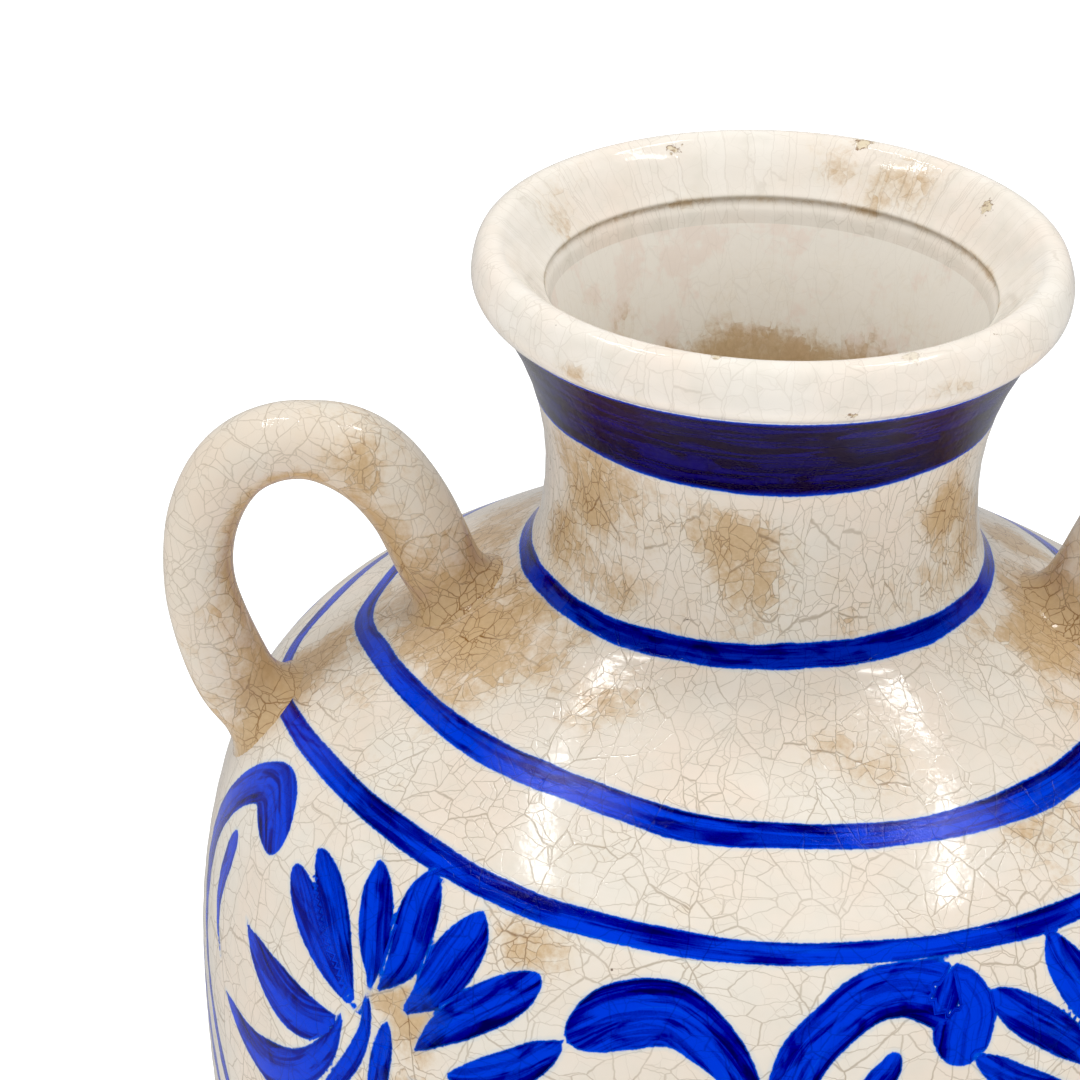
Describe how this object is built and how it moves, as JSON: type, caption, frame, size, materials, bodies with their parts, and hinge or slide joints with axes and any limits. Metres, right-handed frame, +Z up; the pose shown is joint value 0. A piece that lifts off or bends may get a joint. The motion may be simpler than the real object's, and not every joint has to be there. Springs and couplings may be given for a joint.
{
  "type": "two-handled vase",
  "caption": "Glazed earthenware vase with a bulbous body, short flared neck, thick rolled rim and a pair of looped shoulder handles, painted blue on cream.",
  "frame": {"origin": "centre of the foot ring on the standing surface", "axes": "+Z up along the jar's axis, the left handle lies along -X, the right one about along +X, the painted front faces -Y"},
  "size_m": [0.2526, 0.2384, 0.31],
  "materials": {
    "body_glaze": "glossy cream tin glaze with crackle and cobalt brushwork",
    "neck_glaze": "glossy cream glaze with a dark cobalt band",
    "rim_glaze": "glossy cream glaze",
    "handle_glaze": "glossy cream glaze, stained crackle",
    "root_glaze": "glossy cream glaze, brown stained crackle",
    "foot_glaze": "glazed outside, bare clay on the standing edge"
  },
  "bodies": {
    "root": {"foot_ring": "foot_glaze", "lower_body": "body_glaze", "shoulder": "body_glaze", "neck_joint_coil": "body_glaze", "neck": "neck_glaze", "mouth_rim": "rim_glaze", "handle_left": "handle_glaze", "handle_right": "handle_glaze", "handle_left_root_slip": "root_glaze", "handle_right_root_slip": "root_glaze"}
  },
  "joints": []
}
